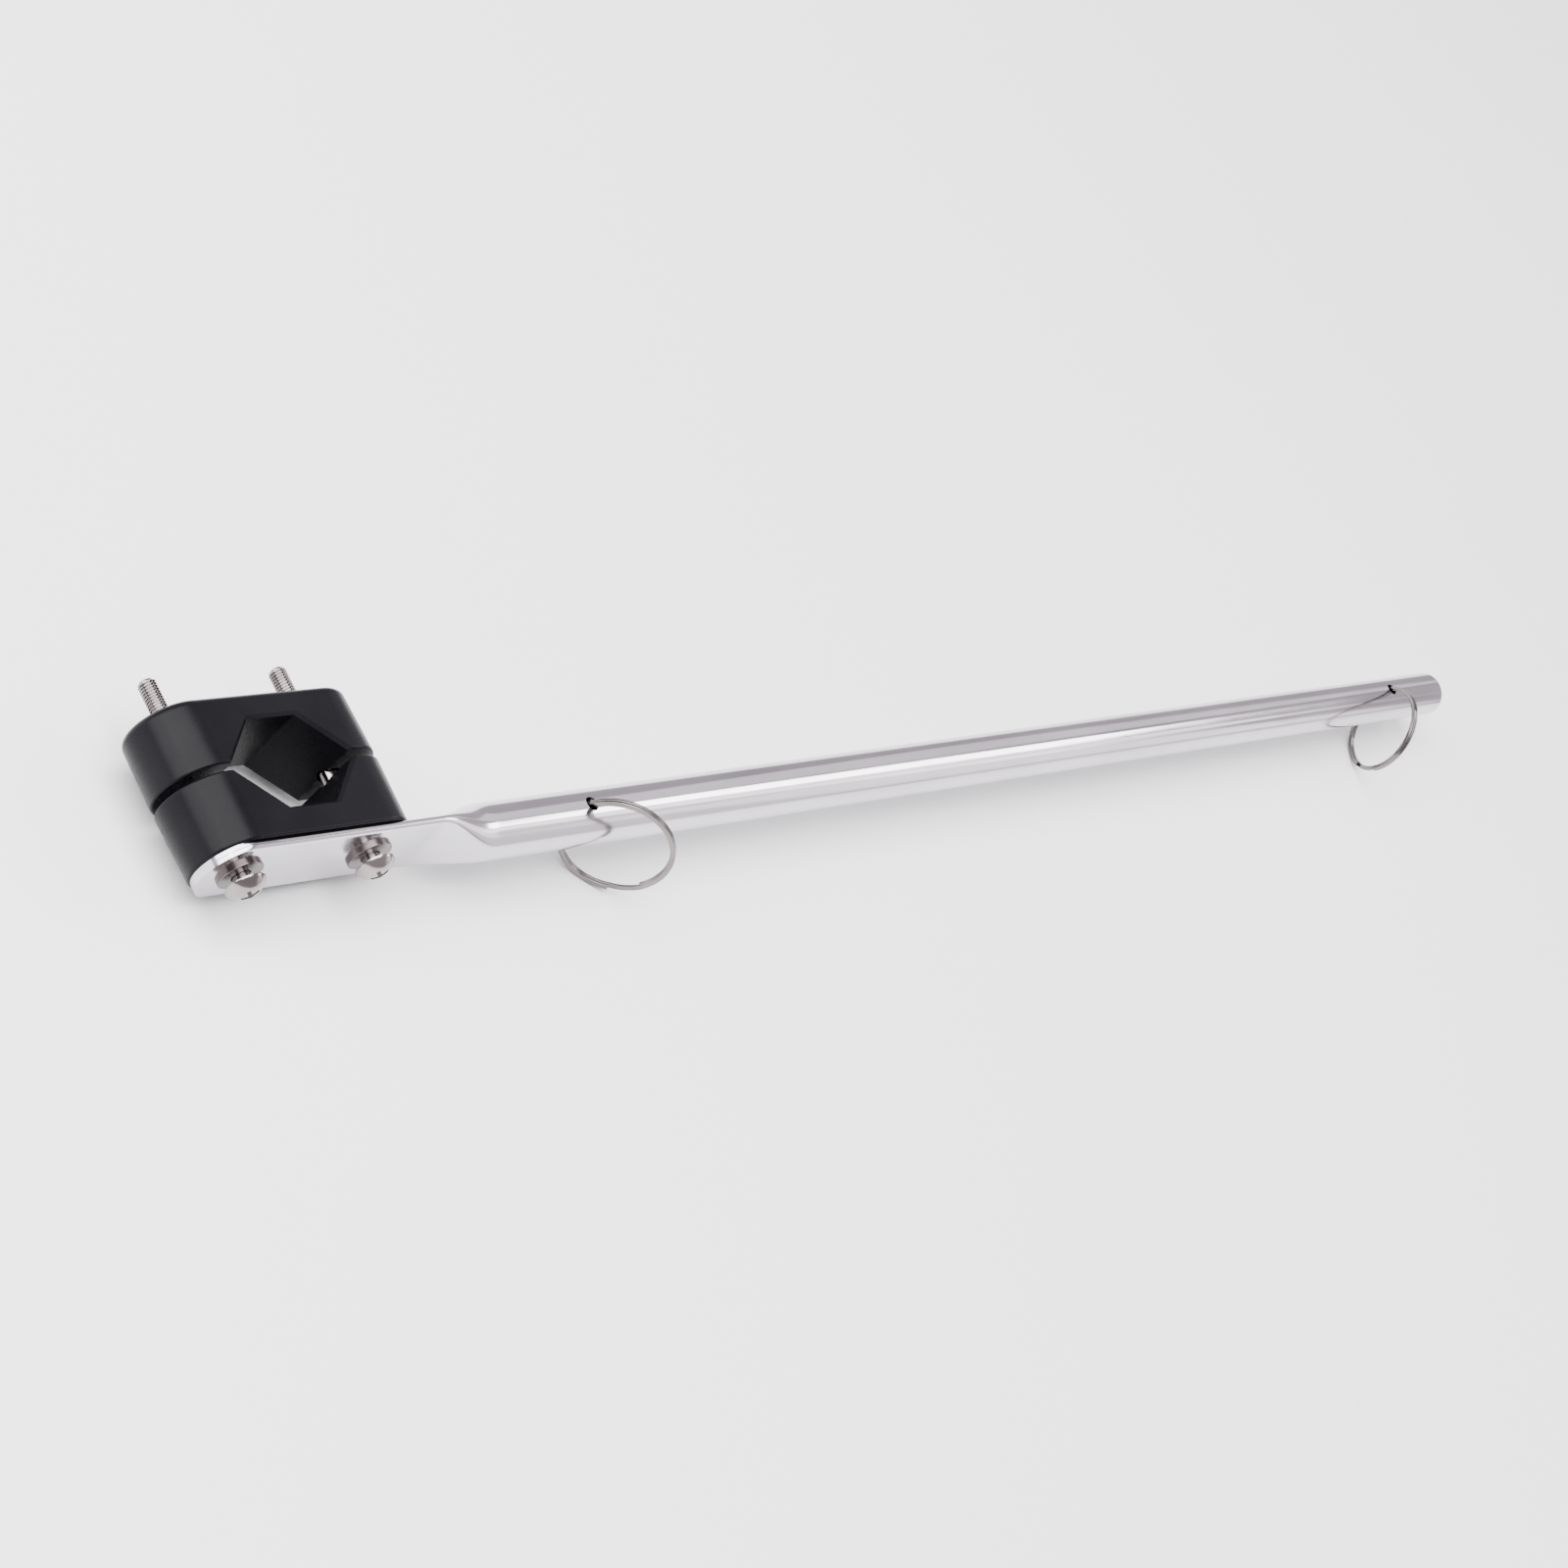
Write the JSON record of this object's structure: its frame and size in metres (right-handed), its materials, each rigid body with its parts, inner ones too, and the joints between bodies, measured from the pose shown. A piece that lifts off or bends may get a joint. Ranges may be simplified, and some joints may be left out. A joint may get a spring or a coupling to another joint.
{
  "type": "rail-mount flag staff",
  "caption": "Polished steel flag staff, flattened at its foot and screwed to a two-piece plastic rail clamp with a six-sided opening, with split rings threaded through the staff for the flag.",
  "frame": {"origin": "middle of the rail opening, on the rail's axis and on the parting plane of the clamp as assembled", "axes": "+X along the staff towards its top, +Y square to the flat and away from the screw heads, +Z along the rail and up as the object lies"},
  "size_m": [0.6125, 0.0815, 0.0334],
  "materials": {
    "staff_steel": "mirror-polished stainless steel",
    "plug_steel": "polished stainless steel, slightly duller than the staff",
    "clamp_plastic": "black glass-filled nylon, satin, fine moulded grain",
    "fastener_steel": "bright stainless steel fasteners",
    "ring_steel": "bright spring stainless wire"
  },
  "bodies": {
    "staff": {"staff_tube": "staff_steel", "end_plug": "plug_steel", "clamp_half_inner": "clamp_plastic", "washer_outboard": "fastener_steel", "washer_inboard": "fastener_steel"},
    "outer_jaw": {"clamp_half_outer": "clamp_plastic", "nut_outboard": "fastener_steel", "nut_inboard": "fastener_steel"},
    "screw_outboard": {"screw_outboard": "fastener_steel"},
    "screw_inboard": {"screw_inboard": "fastener_steel"},
    "ring_lower": {"flag_ring_lower": "ring_steel"},
    "ring_upper": {"flag_ring_upper": "ring_steel"}
  },
  "joints": [
    {"name": "outer_jaw_slide", "type": "slide", "parent": "staff", "child": "outer_jaw", "axis": [0, 1, 0], "range_m": [-0.0018, 0.012]},
    {"name": "screw_outboard_turn", "type": "hinge", "parent": "staff", "child": "screw_outboard", "pos_m": [-0.022, -0.0265, 0], "axis": [0, -1, 0], "range_deg": [-811, 5401]},
    {"name": "screw_inboard_turn", "type": "hinge", "parent": "staff", "child": "screw_inboard", "pos_m": [0.022, -0.0265, 0], "axis": [0, -1, 0], "range_deg": [-811, 5401]},
    {"name": "ring_lower_swing", "type": "hinge", "parent": "staff", "child": "ring_lower", "pos_m": [0.101, -0.0218, 0], "axis": [0, 0, 1], "range_deg": [-116, 26]},
    {"name": "ring_upper_swing", "type": "hinge", "parent": "staff", "child": "ring_upper", "pos_m": [0.541, -0.0218, 0], "axis": [0, 0, 1], "range_deg": [-38, 104]}
  ],
  "couplings": [
    {"joint": "screw_outboard_turn", "follows": "outer_jaw_slide", "rad_per_m": 7854},
    {"joint": "screw_inboard_turn", "follows": "outer_jaw_slide", "rad_per_m": 7854}
  ]
}
